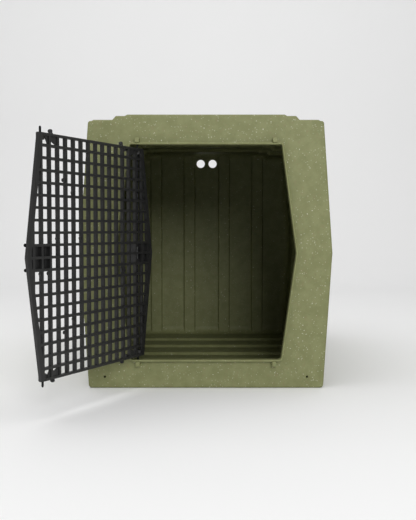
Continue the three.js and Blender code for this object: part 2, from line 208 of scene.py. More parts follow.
# %% Charcoal glass-filled nylon
def glass_filled_nylon():
    material, tree, shader, where = new_material("charcoal_glass_filled_nylon", 0.48, 1.53)
    cloud = ramp(tree, noise(tree, where, 18 * MM, 3.0), 0.35, 0.7)
    skin = blended(tree, cloud, "131313", "1A1A19")
    raised = add(tree, "ShaderNodeNewGeometry").outputs["Pointiness"]
    skin = blended(tree, ramp(tree, raised, 0.52, 0.62, 0, 0.4), skin, "2C2C2B")
    tree.links.new(skin, shader.inputs["Base Color"])
    bump(tree, shader, noise(tree, where, 1.2 * MM, 2.0), 0.05 * MM, 0.5)
    return material


nylon = glass_filled_nylon()
print("made", nylon.name)

# %% [markdown]
# The rods and screws are steel, blackened in a hot oxide bath. The film is thin, so handling rubs it back
# in cloudy patches, and the patches also vary the gloss. The springs are bright drawn wire, which carries
# faint light and dark streaks.

# %% Black oxide steel and bright wire
def black_oxide_steel():
    material, tree, shader, where = new_material("black_oxide_steel", 0.38, metallic=1.0)
    rub = ramp(tree, noise(tree, where, 7 * MM, 4.0, 0.65), 0.5, 0.75, 0, 0.5)
    tree.links.new(blended(tree, rub, "1E1E20", "4A4A4C"), shader.inputs["Base Color"])
    tree.links.new(ramp(tree, noise(tree, where, 3 * MM), 0.3, 0.7, 0.3, 0.48), shader.inputs["Roughness"])
    return material


def bright_spring_wire():
    material, tree, shader, where = new_material("bright_spring_wire", 0.3, metallic=1.0)
    streak = ramp(tree, noise(tree, where, 1.5 * MM), 0.3, 0.7)
    tree.links.new(blended(tree, streak, "8E9092", "B4B6B8"), shader.inputs["Base Color"])
    return material


steel = black_oxide_steel()
spring_wire = bright_spring_wire()
print("made", steel.name, "and", spring_wire.name)

# %% [markdown]
# The bumpers are black moulded rubber. It is duller than the nylon, and its surface carries a soft grey
# bloom where the wax in it has come out.

# %% Moulded rubber
def moulded_rubber():
    material, tree, shader, where = new_material("moulded_black_rubber", 0.72, 1.52)
    bloom = ramp(tree, noise(tree, where, 5 * MM, 4.0), 0.4, 0.75)
    tree.links.new(blended(tree, bloom, "18181A", "262628"), shader.inputs["Base Color"])
    bump(tree, shader, noise(tree, where, 1.5 * MM, 2.0), 0.05 * MM, 0.5)
    return material


rubber = moulded_rubber()
print("made", rubber.name)

# %% [markdown]
# The body's section is the same all the way along: a six-sided outline, widest at the waist, with a raised
# roof. It is described once, as half an outline that can be drawn in by any distance. Its corners are
# rounded with the same number of points each time, so that every ring of the skin matches the next.

# %% The body's outline
BASE_HALF = 291.5 * MM
WAIST_HALF = shell_high.x
SHOULDER_HALF = 289.5 * MM
WAIST_Z = 336 * MM
CORNER_STEPS = 4


def rounded(points, radii, steps=CORNER_STEPS):
    """A closed outline with each corner eased over its own radius, but never past the middle of a side."""
    outline = []
    for index, point in enumerate(points):
        before = points[index - 1] - point
        after = points[(index + 1) % len(points)] - point
        turn = math.pi - before.angle(after)
        reach = min(radii[index] * math.tan(turn / 2), before.length * 0.48, after.length * 0.48)
        start = point + before.normalized() * reach
        end = point + after.normalized() * reach
        for step in range(steps + 1):
            t = step / steps
            outline.append(start * (1 - t) ** 2 + point * 2 * t * (1 - t) + end * t ** 2)
    return outline


def mirrored(half):
    """Right half of an outline from the bottom up, then its mirror image from the top down."""
    return [Vector((x, z)) for x, z in half] + [Vector((-x, z)) for x, z in reversed(half)]


def body_outline(inset):
    top = HEIGHT - inset
    side = SHOULDER_HALF - inset
    # Each corner is (across, up, rounding): the foot, the waist, the shoulder in two small steps, and the
    # two steps up to the roof.
    half = [
        (BASE_HALF - inset, inset, 9 * MM),
        (WAIST_HALF - inset, WAIST_Z, 30 * MM),
        (side, top - 19 * MM, 6 * MM),
        (side - 4 * MM, top - 15.6 * MM, 3 * MM),
        (side - 9 * MM, top - 15.6 * MM, 3 * MM),
        (side - 13.5 * MM, top - 12.8 * MM, 3 * MM),
        (side - 60 * MM, top - 12.8 * MM, 4 * MM),
        (side - 68.5 * MM, top - 3.4 * MM, 4 * MM),
        (side - 90.5 * MM, top - 3.4 * MM, 3 * MM),
        (side - 96.5 * MM, top, 3 * MM),
    ]
    radii = [rounding for across, up, rounding in half]
    return rounded(mirrored([corner[:2] for corner in half]), radii + radii[::-1])


print("each ring has", len(body_outline(0)), "points")

# %% [markdown]
# Five shallow channels run round the body like barrel hoops and stiffen it. Inside they stand up as ribs.
# The skin is a loft: a ring of points at each station along the length, drawn in where a channel passes and
# eased at both ends.

# %% Stations along the body
CHANNEL_PITCH = 140 * MM
FIRST_CHANNEL = FRONT + 175 * MM
CHANNELS = [FIRST_CHANNEL + CHANNEL_PITCH * index for index in range(5)]
CHANNEL_HALF = 22 * MM
CHANNEL_SLOPE = 11 * MM
CHANNEL_DEPTH = 8 * MM
SLOPE_STEPS = 8
END_STEPS = 6
WALL = 5 * MM


def channel_depth(y):
    """How far the skin is drawn in at y, with soft shoulders to each channel."""
    deepest = 0.0
    for middle in CHANNELS:
        t = min(max((CHANNEL_HALF - abs(y - middle)) / CHANNEL_SLOPE, 0), 1)
        deepest = max(deepest, t * t * (3 - 2 * t) * CHANNEL_DEPTH)
    return deepest


def rounded_end(radius):
    """Pairs of (distance from the end, how far drawn in) along a quarter circle."""
    angles = [math.pi / 2 * step / END_STEPS for step in range(END_STEPS + 1)]
    return [(radius * (1 - math.sin(angle)), radius * (1 - math.cos(angle))) for angle in angles]


def stations(front, back, front_round, back_round):
    """Pairs of (y, how far the ring is drawn in), from the front to the back."""
    made = [(front + along, drawn_in) for along, drawn_in in reversed(rounded_end(front_round))]
    for middle in CHANNELS:
        for side in (-1, 1):
            edge = middle + side * CHANNEL_HALF
            places = [edge - side * CHANNEL_SLOPE * part / SLOPE_STEPS for part in range(SLOPE_STEPS + 1)]
            made += [(y, channel_depth(y)) for y in sorted(places)]
    return made + [(back - along, drawn_in) for along, drawn_in in rounded_end(back_round)]


outer_stations = stations(FRONT, BACK, 5 * MM, 16 * MM)
inner_stations = stations(FRONT + WALL, BACK - WALL, 12 * MM, 26 * MM)
print(len(outer_stations), "outer stations and", len(inner_stations), "inner ones")

# %% [markdown]
# The doorway has six sides too. Its edge is a lip that stands 15 mm out of the face. The lip is a short
# loft of the doorway's own outline: its path starts with a fillet out of the face, folds over at the front
# and runs back into the cabin.

# %% The doorway and its lip
DOORWAY_BOTTOM = 73 * MM
DOORWAY_TOP = 600 * MM
DOORWAY_END = 184.5 * MM
DOORWAY_WAIST = 221 * MM
LIP = 15 * MM
doorway_half = [(DOORWAY_END, DOORWAY_BOTTOM), (DOORWAY_WAIST, WAIST_Z), (DOORWAY_END, DOORWAY_TOP)]
doorway_radii = [9 * MM, 20 * MM, 4 * MM]
doorway = rounded(mirrored(doorway_half), doorway_radii + doorway_radii[::-1], 8)


def widened(outline, distance):
    """The outline moved outwards along its own normals."""
    moved = []
    for index, point in enumerate(outline):
        along = (outline[(index + 1) % len(outline)] - outline[index - 1]).normalized()
        moved.append(point + Vector((along.y, -along.x)) * distance)
    return moved


def arc(centre, radius, start, end, steps):
    """Points on an arc, as (distance outwards from the doorway, y)."""
    angles = [math.radians(start + (end - start) * step / steps) for step in range(steps + 1)]
    return [(centre[0] + radius * math.cos(a), centre[1] + radius * math.sin(a)) for a in angles]


FOOT = 4 * MM
FOLD = WALL / 2
INNER_EASE = 1.5 * MM
lip_path = [(WALL + FOOT - x, y) for x, y in arc((0, FRONT - FOOT), FOOT, 90, 0, 5)]
lip_path += arc((FOLD, FRONT - LIP + FOLD), FOLD, 0, -180, 8)
lip_path += [(0, FRONT + WALL - INNER_EASE)]
lip_path += arc((INNER_EASE, FRONT + WALL - INNER_EASE), INNER_EASE, 180, 90, 3)
print("the lip's path has", len(lip_path), "points")

# %% [markdown]
# The skin is closed from four kinds of face. Rings are bridged to their neighbours along the body and round
# the lip, and flat fills with a hole in them join the lip to the face outside and to the cabin's front wall
# inside. Plain flat fills close the back.

# %% Build the skin
def ring(mesh, outline, y):
    return [mesh.verts.new((point.x, y, point.y)) for point in outline]


def bridge(mesh, first, second):
    count = len(first)
    for index in range(count):
        after = (index + 1) % count
        mesh.faces.new((first[index], first[after], second[after], second[index]))


def loft(mesh, rings):
    for first, second in zip(rings, rings[1:]):
        bridge(mesh, first, second)


def flat_fill(mesh, loops):
    """Fills a flat outline, with any further loops left open as holes."""
    corners = [vertex for loop in loops for vertex in loop]
    for triangle in tessellate_polygon([[vertex.co for vertex in loop] for loop in loops]):
        mesh.faces.new([corners[index] for index in triangle])


def object_from(mesh, name):
    data = bpy.data.meshes.new(name)
    bmesh.ops.remove_doubles(mesh, verts=mesh.verts, dist=1e-6)
    bmesh.ops.recalc_face_normals(mesh, faces=mesh.faces)
    mesh.to_mesh(data)
    mesh.free()
    made = bpy.data.objects.new(name, data)
    bpy.context.scene.collection.objects.link(made)
    return made


skin = bmesh.new()
outer_rings = [ring(skin, body_outline(inset), y) for y, inset in outer_stations]
inner_rings = [ring(skin, body_outline(inset + WALL), y) for y, inset in inner_stations]
lip_rings = [ring(skin, widened(doorway, distance), y) for distance, y in lip_path]
for rings in (outer_rings, inner_rings, lip_rings):
    loft(skin, rings)
flat_fill(skin, [outer_rings[0], lip_rings[0]])
flat_fill(skin, [inner_rings[0], lip_rings[-1]])
flat_fill(skin, [outer_rings[-1]])
flat_fill(skin, [inner_rings[-1]])
kennel_body = object_from(skin, "kennel_body")
print("the skin has", len(kennel_body.data.polygons), "faces")

# %% [markdown]
# Lugs, back ribs and holes are added to the skin with booleans, as the toolmaker adds inserts to a mould. A
# tapered block with rounded edges serves for all the raised and pressed shapes, and a turned profile for
# all the round ones. Joined shapes run a little way into each other, because a boolean dislikes faces that
# only touch.

# %% Blocks and round bars
BITE = 1 * MM


def plate(mesh, outlines, depths):
    """Joins two outlines of (x, z) points, each at its own y, into a closed solid."""
    near, far = [[mesh.verts.new((x, y, z)) for x, z in outline] for outline, y in zip(outlines, depths)]
    bridge(mesh, near, far)
    mesh.faces.new(near)
    mesh.faces.new(far[::-1])


def tapered_block(mesh, low, high, taper=(0, 0)):
    """A block whose front face is drawn in by taper along X and Z."""
    outlines = []
    for dx, dz in (taper, (0, 0)):
        left, right = low[0] + dx, high[0] - dx
        bottom, top = low[2] + dz, high[2] - dz
        outlines.append([(left, bottom), (right, bottom), (right, top), (left, top)])
    plate(mesh, outlines, (low[1], high[1]))


def cap_arc(radius, start, rise, steps):
    """The end of a turned profile: a quarter ellipse from a radius at a height in to the axis."""
    angles = [math.pi / 2 * step / steps for step in range(1, steps)]
    return [(radius * math.cos(a), start + rise * math.sin(a)) for a in angles] + [(0, start + rise)]


def turned(mesh, profile, matrix=Matrix.Identity(4), sides=32):
    """A turned piece. The profile is (radius, distance along Z) from one end of the axis to the other."""
    rings = []
    for radius, z in profile:
        if radius < 1e-7:
            rings.append([mesh.verts.new(matrix @ Vector((0, 0, z)))])
            continue
        angles = [2 * math.pi * side / sides for side in range(sides)]
        rings.append([mesh.verts.new(matrix @ Vector((radius * math.cos(a), radius * math.sin(a), z)))
                      for a in angles])
    for first, second in zip(rings, rings[1:]):
        if len(first) == 1 or len(second) == 1:
            tip, rim = (first[0], second) if len(first) == 1 else (second[0], first)
            for side in range(sides):
                mesh.faces.new((tip, rim[side], rim[(side + 1) % sides]))
        else:
            bridge(mesh, first, second)


def round_bar(mesh, start, end, radius, sides=32):
    start, end = Vector(start), Vector(end)
    turn = (end - start).to_track_quat("Z", "Y").to_matrix().to_4x4()
    length = (end - start).length
    profile = [(0, 0), (radius, 0), (radius, length), (0, length)]
    turned(mesh, profile, Matrix.Translation(start) @ turn, sides)


def with_modifiers_applied(piece):
    bpy.context.view_layer.update()
    graph = bpy.context.evaluated_depsgraph_get()
    data = bpy.data.meshes.new_from_object(piece.evaluated_get(graph))
    piece.modifiers.clear()
    piece.data = data


def eased(piece, width, segments=3, angle=35):
    bevel = piece.modifiers.new("eased_edges", "BEVEL")
    bevel.width = width
    bevel.segments = segments
    bevel.limit_method = "ANGLE"
    bevel.angle_limit = math.radians(angle)


def combined(piece, tool, operation):
    boolean = piece.modifiers.new(operation.lower(), "BOOLEAN")
    boolean.operation = operation
    boolean.solver = "EXACT"
    boolean.object = tool
    with_modifiers_applied(piece)
    bpy.data.objects.remove(tool)


def smooth_shaded(piece, angle=35):
    piece.data.shade_smooth()
    piece.data.set_sharp_from_angle(angle=math.radians(angle))
    weighted = piece.modifiers.new("even_shading", "WEIGHTED_NORMAL")
    weighted.keep_sharp = True

# %% [markdown]
# The back wall has four upright channels, pressed in from outside, which show inside as broad ribs. The rib
# is added inside first and the channel cut from outside afterwards, so the wall stays one closed skin.

# %% Upright ribs of the back wall
RIB_X = [-187 * MM, -64 * MM, 64 * MM, 187 * MM]
RIB_HALF = 23 * MM
GROOVE_HALF = 18 * MM
RIB_SLOPE = 4 * MM
PAST = 8 * MM

additions = bmesh.new()
for x in RIB_X:
    low = (x - RIB_HALF, BACK - WALL - CHANNEL_DEPTH, WALL / 2)
    high = (x + RIB_HALF, BACK - WALL / 2, HEIGHT - WALL / 2 - 1.5 * MM)
    tapered_block(additions, low, high, (RIB_SLOPE, 0))
ribs = object_from(additions, "rib_blocks")
eased(ribs, 3 * MM)
with_modifiers_applied(ribs)
combined(kennel_body, ribs, "UNION")
print("the body with its ribs has", len(kennel_body.data.polygons), "faces")

# %% [markdown]
# Small lugs under and over the lip carry the ends of the door's rods. They are tapered a little, as
# everything that leaves a mould is.

# %% Lugs on the lip
door_swing = next(joint for joint in frame["joints"] if joint["name"] == "door_swing")
PIN_X = -door_swing["pos_m"][0]
PIN_Y = door_swing["pos_m"][1]
LUG = 12 * MM

additions = bmesh.new()
for side in (-1, 1):
    for low_z in (DOORWAY_BOTTOM - WALL - LUG, DOORWAY_TOP + WALL - BITE):
        low = (side * PIN_X - LUG / 2, FRONT - LUG_REACH, low_z)
        high = (side * PIN_X + LUG / 2, FRONT + 2 * BITE, low_z + LUG + BITE)
        tapered_block(additions, low, high, (0.6 * MM, 0.6 * MM))
lugs = object_from(additions, "lug_blocks")
eased(lugs, 1.5 * MM)
with_modifiers_applied(lugs)
combined(kennel_body, lugs, "UNION")
print("four lugs,", round(LUG / MM), "mm wide")

# %% [markdown]
# Now everything is cut: the channels behind the ribs, two round vents high in the back, a small tie-down
# hole in each front corner, and the holes for the rods. The finished body takes the place of the packed
# one.

# %% Channels and holes
VENT_X = 22 * MM
VENT_DROP = 39 * MM
VENT_RADIUS = 15 * MM
TIE_HOLE_X = 251 * MM
TIE_HOLE_UP = 28.5 * MM
TIE_HOLE_RADIUS = 3 * MM
ROD_HOLE_RADIUS = 3.2 * MM
ROD_HOLE_HALF = 16 * MM
ROD_HOLE_PAST = 10 * MM

cuts = bmesh.new()
for x in RIB_X:
    low = (x - GROOVE_HALF, BACK - CHANNEL_DEPTH, -PAST)
    high = (x + GROOVE_HALF, BACK + PAST / 2, HEIGHT + PAST)
    tapered_block(cuts, low, high, (RIB_SLOPE, RIB_SLOPE))
grooves = object_from(cuts, "groove_blocks")
eased(grooves, 2.5 * MM)
with_modifiers_applied(grooves)
combined(kennel_body, grooves, "DIFFERENCE")

cuts = bmesh.new()
for side in (-1, 1):
    vent = Vector((side * VENT_X, BACK, HEIGHT - VENT_DROP))
    round_bar(cuts, vent - Vector((0, 30 * MM, 0)), vent + Vector((0, 10 * MM, 0)), VENT_RADIUS, 48)
    tie = Vector((side * TIE_HOLE_X, FRONT, TIE_HOLE_UP))
    round_bar(cuts, tie - Vector((0, 5 * MM, 0)), tie + Vector((0, 15 * MM, 0)), TIE_HOLE_RADIUS)
    for height in (DOORWAY_BOTTOM - ROD_HOLE_PAST, DOORWAY_TOP + ROD_HOLE_PAST):
        low, high = height - ROD_HOLE_HALF, height + ROD_HOLE_HALF
        round_bar(cuts, (side * PIN_X, PIN_Y, low), (side * PIN_X, PIN_Y, high), ROD_HOLE_RADIUS)
combined(kennel_body, object_from(cuts, "hole_bars"), "DIFFERENCE")
smooth_shaded(kennel_body)
kennel_body.data.materials.clear()
kennel_body.data.materials.append(polyethylene)
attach(kennel_body, "kennel")
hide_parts("shell")
print("the finished body has", len(kennel_body.data.polygons), "faces")

# %% [markdown]
# Every piece of the door is drawn with the door shut and its hinge axis at the origin, which is far easier
# to think about. X runs to the free edge, and Y points into the cabin. One matrix then hangs it on the
# kennel at the angle it rests at. Each piece is also parented to the body it rides on, and the imported
# piece it stands for is hidden.

# %% Hanging pieces on the door
open_angle = math.radians(door_swing["range_deg"][0])
hung = Matrix.Translation(door_swing["pos_m"]) @ Matrix.Rotation(open_angle, 4, "Z")
PIN_SPAN = 2 * PIN_X
PIN_LINES = {"free": PIN_SPAN, "hinge": 0.0}
ENDS = {"upper": 1, "lower": -1}
ROW = 25.4 * MM
DOOR_HALF_HEIGHT = 10 * ROW


def hang(piece, body, slot, material, *nodes):
    piece.data.transform(hung)
    piece.data.materials.clear()
    piece.data.materials.append(material)
    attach(piece, body)
    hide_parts(*nodes)


print("the door rests open", round(math.degrees(open_angle)), "degrees")

# %% [markdown]
# The grid is one flat moulding. Ruled lines make a sheet of small faces, and knives cut the sheet along the
# door's edge and along the inside of its rim. The rim is wider down the slanting sides than along the top
# and bottom.

# %% Rule and cut the grid
COLUMN = 24.9 * MM
HALF_COLUMNS = 9
HALF_ROWS = 11
BAR = 5.7 * MM
LEVEL_RIM = 5.5 * MM
SIDE_RIM = 10.5 * MM
DOOR_FACE = 1.8 * MM
DOOR_BACK = 9.8 * MM
SIDE_GAP = 4 * MM


def door_planes(level_inset, side_inset):
    """The door outline's six sides, as (point, outward normal), its level and slanting sides drawn in."""
    corner = DOORWAY_END - SIDE_GAP
    waist = DOORWAY_WAIST - SIDE_GAP
    half = [(corner, -DOOR_HALF_HEIGHT), (waist, 0), (corner, DOOR_HALF_HEIGHT)]
    outline = [point + Vector((PIN_X, 0)) for point in mirrored(half)]
    planes = []
    for index, point in enumerate(outline):
        along = (outline[(index + 1) % len(outline)] - point).normalized()
        outward = Vector((along.y, -along.x))
        inset = level_inset if abs(outward.y) > 0.9 else side_inset
        planes.append((point - outward * inset, outward))
    return planes


def inside(planes, point):
    return all((point - place).dot(outward) < 1e-6 for place, outward in planes)


def bar_edges(middle, pitch, half_count):
    """Where both edges of every bar fall, in order."""
    bars = [middle + number * pitch for number in range(-half_count, half_count + 1)]
    return [bar + side * BAR / 2 for bar in bars for side in (-1, 1)]


x_lines = bar_edges(PIN_X, COLUMN, HALF_COLUMNS)
z_lines = bar_edges(0, ROW, HALF_ROWS)
grid = bmesh.new()
lattice = [[grid.verts.new((x, DOOR_BACK, z)) for z in z_lines] for x in x_lines]
for left, right in zip(lattice, lattice[1:]):
    for low in range(len(z_lines) - 1):
        grid.faces.new((left[low], right[low], right[low + 1], left[low + 1]))
edge_planes = door_planes(0, 0)
window_planes = door_planes(LEVEL_RIM, SIDE_RIM)
for place, outward in edge_planes + window_planes:
    everything = grid.verts[:] + grid.edges[:] + grid.faces[:]
    bmesh.ops.bisect_plane(grid, geom=everything, plane_co=(place.x, 0, place.y),
                           plane_no=(outward.x, 0, outward.y), dist=1e-7)
print("the ruled sheet has", len(grid.faces), "faces")

# %% [markdown]
# The faces of the holes, and all those past the door's edge, are thrown away. What is left is thickened
# into bars that are deeper than they are wide, which is what makes such a thin grid stiff.

# %% Open the holes and thicken the bars
def is_open(face):
    middle = face.calc_center_median()
    point = Vector((middle.x, middle.z))
    across = point.x - PIN_X
    in_window = inside(window_planes, point)
    on_column = abs(across - round(across / COLUMN) * COLUMN) < BAR / 2
    on_row = abs(point.y - round(point.y / ROW) * ROW) < BAR / 2
    return not inside(edge_planes, point) or (in_window and not (on_column or on_row))


bmesh.ops.delete(grid, geom=[face for face in grid.faces if is_open(face)], context="FACES")
thick = bmesh.ops.extrude_face_region(grid, geom=grid.faces[:], use_keep_orig=True)
moved = [item for item in thick["geom"] if isinstance(item, bmesh.types.BMVert)]
bmesh.ops.translate(grid, verts=moved, vec=(0, DOOR_FACE - DOOR_BACK, 0))
door_grid = object_from(grid, "door_grid")
print("the grid has", len(door_grid.data.polygons), "faces before easing")

# %% [markdown]
# Small things grow out of the grid's corners. Each bumper has a round socket that leans out of the door,
# and three-cornered webs brace the two cells beside the corner. These two functions place and draw them.

# %% Bumper sockets and corner webs
SOCKET_FROM_MIDDLE = 122 * MM
BUMPER_X = {"free": PIN_X + SOCKET_FROM_MIDDLE, "hinge": PIN_X - SOCKET_FROM_MIDDLE}
BUMPER_OUT = 15 * MM
BUMPER_PAST = 9 * MM
BUMPER_LEAN = 15
BUMPER_RADIUS = 5 * MM
BUMPER_HEAD = 9 * MM
SOCKET_LENGTH = 16 * MM
WEB_FACE = DOOR_FACE + 2.5 * MM
WEB = 3 * MM


def bumper_place(side, end):
    """Stands a bumper along Z with the middle of its head at the origin, then leans it out of the door."""
    lean = Matrix.Rotation(math.radians(BUMPER_LEAN if end > 0 else 180 - BUMPER_LEAN), 4, "X")
    middle = Vector((BUMPER_X[side], -BUMPER_OUT, end * (DOOR_HALF_HEIGHT + BUMPER_PAST)))
    return Matrix.Translation(middle) @ lean


def corner_web(mesh, side, end, cell, start, finish):
    """Fills the inner top corner of one cell. Start and finish are the ends of the web's free edge, as shares
    of the cell's width from its outer side and of its height from its top."""
    outer = PIN_X + side * (cell * COLUMN - BAR / 2)
    width = COLUMN - BAR
    top = DOOR_HALF_HEIGHT - LEVEL_RIM
    height = top - (9 * ROW + BAR / 2)
    shares = [(start[0], -0.2), (1.1, -0.2), (1.1, finish[1]), finish, start]
    outline = [(outer - side * across * width, end * (top - down * height)) for across, down in shares]
    plate(mesh, (outline, outline), (WEB_FACE, WEB_FACE + WEB))


webs = bmesh.new()
for side in (-1, 1):
    for end in ENDS.values():
        corner_web(webs, side, end, 7, (0.4, 0.0), (1.0, 1.05))
        corner_web(webs, side, end, 6, (-0.1, 0.4), (1.0, 1.05))
print("eight corner webs,", round(WEB / MM), "mm thick")

# %% [markdown]
# Knuckles at the corners and small guides half way carry the rods in front of the grid, and arms reach out
# to the bumper sockets. Small bosses are left where the mould's ejector pins push, and a ring where the
# plastic came in. All of it is joined to the grid before any edge is eased, so that it grows out of it as
# one moulding.

# %% Knuckles, guides, arms and bosses
KNUCKLE = 14 * MM
KNUCKLE_RADIUS = 8.5 * MM
GUIDE_HALF = 6 * MM
GUIDE_FRONT = -5.5 * MM
GUIDE_ROW = 5
LATCH_COLUMN = 7
ARM_HALF = 5 * MM
ARM_HEIGHT = 10 * MM
ARM_FRONT = -BUMPER_OUT + 2.4 * MM
BOSS_RADIUS = 4 * MM
BOSS_DEPTH = 4 * MM
GATE_RADIUS = 7.5 * MM
# Each boss is (columns from the middle, rows up from the middle), beside a bar of the grid.
BOSSES = [(4.3, 6.35), (3.15, 5.35), (4.3, -6.35), (3.15, -5.35)]
BOSSES += [(5.15, 1.5), (2.15, 1.5), (6.2, -1.3), (7.15, -1.3)]


def latch_bar(x):
    """The upright bar of the grid that a rod lies beside."""
    return PIN_X + math.copysign(LATCH_COLUMN * COLUMN, x - PIN_X)


extra = bmesh.new()
for x in PIN_LINES.values():
    for end in ENDS.values():
        tip = end * DOOR_HALF_HEIGHT
        round_bar(extra, (x, 0, tip - end * KNUCKLE), (x, 0, tip), KNUCKLE_RADIUS, 40)
        left, _, right = sorted((x - GUIDE_HALF, x + GUIDE_HALF, latch_bar(x)))
        height = end * GUIDE_ROW * ROW
        low = (left, GUIDE_FRONT, height - BAR / 2)
        tapered_block(extra, low, (right, DOOR_FACE + BITE, height + BAR / 2))
for side, middle in BUMPER_X.items():
    for end in ENDS.values():
        top = -BUMPER_HEAD / 2 - 0.3 * MM
        foot = top - SOCKET_LENGTH
        profile = [(0, foot), (BUMPER_RADIUS, foot), (BUMPER_RADIUS, top), (0, top)]
        turned(extra, profile, bumper_place(side, end), 40)
        low_z, high_z = sorted((end * DOOR_HALF_HEIGHT, end * (DOOR_HALF_HEIGHT - ARM_HEIGHT)))
        low = (middle - ARM_HALF, ARM_FRONT, low_z)
        tapered_block(extra, low, (middle + ARM_HALF, DOOR_FACE + BITE, high_z))
boss_back = DOOR_BACK - BITE
for columns, rows in BOSSES:
    x, z = PIN_X + columns * COLUMN, rows * ROW
    round_bar(extra, (x, boss_back, z), (x, boss_back - BOSS_DEPTH, z), BOSS_RADIUS)
gate_x, gate_z = PIN_X - 4 * COLUMN, -1.5 * ROW
round_bar(extra, (gate_x, boss_back, gate_z), (gate_x, DOOR_FACE + BITE, gate_z), GATE_RADIUS, 40)
combined(door_grid, object_from(extra, "door_extras"), "UNION")
combined(door_grid, object_from(webs, "corner_webs"), "UNION")
print("the joined grid has", len(door_grid.data.polygons), "faces")

# %% [markdown]
# Last come the cuts. A shallow groove lets each rod lie close to the grid, the middle is opened for the
# slides, and the knuckles and guides are bored. Then every edge is eased a little, as a moulding's edges
# are.

# %% Grooves, bores and eased edges
HOUSING_ROOM = 22.5 * MM
GROOVE_BACK = 3.2 * MM
SLIDE_ROOM_HALF = 7.5 * MM
BORE_RADIUS = 3.1 * MM
grooves = bmesh.new()
for x in PIN_LINES.values():
    reach = DOOR_HALF_HEIGHT - KNUCKLE
    tapered_block(grooves, (x - 3 * MM, DOOR_FACE - BITE, -reach), (x + 3 * MM, GROOVE_BACK, reach))
combined(door_grid, object_from(grooves, "groove_cut"), "DIFFERENCE")
bores = bmesh.new()
for x in PIN_LINES.values():
    room = (x - SLIDE_ROOM_HALF, -2 * MM, -HOUSING_ROOM)
    tapered_block(bores, room, (x + SLIDE_ROOM_HALF, GROOVE_BACK, HOUSING_ROOM))
    for end in ENDS.values():
        inner, outer = end * (HOUSING_ROOM + 5 * MM), end * (DOOR_HALF_HEIGHT + 3 * MM)
        round_bar(bores, (x, 0, inner), (x, 0, outer), BORE_RADIUS)
round_bar(bores, (gate_x, DOOR_BACK + BITE, gate_z), (gate_x, DOOR_FACE - BITE, gate_z), 2.6 * MM)
combined(door_grid, object_from(bores, "bore_cut"), "DIFFERENCE")
eased(door_grid, 0.6 * MM, 2, 40)
smooth_shaded(door_grid)
hang(door_grid, "door", "door_nylon", nylon, "door_grille")
print("the door grid has", len(door_grid.data.polygons), "faces")

# %% [markdown]
# Two latch housings cover the middles of the rods. Each is a small rounded box with two rooms inside, two
# slots where the finger tabs come through, and shallow ribs on its outer face. The box is drawn solid and
# eased first, so that the rooms and slots cut afterwards keep crisp edges.

# %% Housings
HOUSING_X = 26.5 * MM
HOUSING_Z = 27.5 * MM
HOUSING_FRONT = -13 * MM
HOUSING_BACK = DOOR_FACE - 0.3 * MM
HOUSING_WALL = 2.5 * MM
ROOM_HALF = 8.5 * MM
MID_WALL_HALF = 1.5 * MM
TAB_SLOT_HALF = 5 * MM
TAB_SLOT_START = 5 * MM
GRIP_PITCH = 6.4 * MM
GRIP_HALF = (5 * MM, 1.1 * MM)
GRIP_RISE = 0.9 * MM


def latch_housing(side):
    x = PIN_LINES[side]
    middle = latch_bar(x)
    mesh = bmesh.new()
    low = (middle - HOUSING_X, HOUSING_FRONT, -HOUSING_Z)
    tapered_block(mesh, low, (middle + HOUSING_X, HOUSING_BACK, HOUSING_Z), (1.5 * MM, 1.5 * MM))
    housing = object_from(mesh, "latch_housing_cover_" + side)
    eased(housing, 2.5 * MM, 4)
    with_modifiers_applied(housing)
    room = bmesh.new()
    for end in ENDS.values():
        low_z, high_z = sorted((end * MID_WALL_HALF, end * HOUSING_ROOM))
        low = (x - ROOM_HALF, HOUSING_FRONT + HOUSING_WALL, low_z)
        tapered_block(room, low, (x + ROOM_HALF, HOUSING_BACK + 2 * BITE, high_z))
    combined(housing, object_from(room, "housing_room"), "DIFFERENCE")
    slots = bmesh.new()
    for end in ENDS.values():
        low_z, high_z = sorted((end * TAB_SLOT_START, end * HOUSING_ROOM))
        low = (x - TAB_SLOT_HALF, HOUSING_FRONT - 3 * BITE, low_z)
        tapered_block(slots, low, (x + TAB_SLOT_HALF, HOUSING_FRONT + 7 * BITE, high_z))
    past = HOUSING_Z + 2 * BITE
    round_bar(slots, (x, 0, -past), (x, 0, past), BORE_RADIUS)
    combined(housing, object_from(slots, "housing_slots"), "DIFFERENCE")
    grips = bmesh.new()
    outward = math.copysign(1, middle - x)
    for level in range(-3, 4):
        for centre in (middle + outward * 12 * MM, x - outward * 13 * MM):
            low = (centre - GRIP_HALF[0], HOUSING_FRONT - GRIP_RISE, level * GRIP_PITCH - GRIP_HALF[1])
            high = (centre + GRIP_HALF[0], HOUSING_FRONT + 0.6 * MM, level * GRIP_PITCH + GRIP_HALF[1])
            tapered_block(grips, low, high, (0.5 * MM, 0.5 * MM))
    combined(housing, object_from(grips, "housing_grips"), "UNION")
    eased(housing, 0.5 * MM, 2, 50)
    smooth_shaded(housing)
    hang(housing, "door", "door_nylon", nylon, "latch_housing_" + side)


for side in PIN_LINES:
    latch_housing(side)
print("two latch housings,", round(2 * HOUSING_Z / MM), "mm high")

# %% [markdown]
# A finger slide is a small block seated on its rod, with a tab that stands out through the housing. Fine
# grooves cross both sides of the tab for grip. They could be a bump in the material, but cut grooves also
# show on the outline of the tab. The slide moves with the rod, not with the door.

# %% Finger slides
SLIDE_Z = (15.2 * MM, 22.2 * MM)
SLIDE_FRONT = -9.5 * MM
SLIDE_BACK = 2.6 * MM
SLIDE_HALF = 6.5 * MM
TAB_FRONT = -19 * MM
TAB_HALF = 4.5 * MM
SEAT_RADIUS = 2.85 * MM
SEAT_PAST = 3 * MM
GRIP_GROOVE = 0.55 * MM


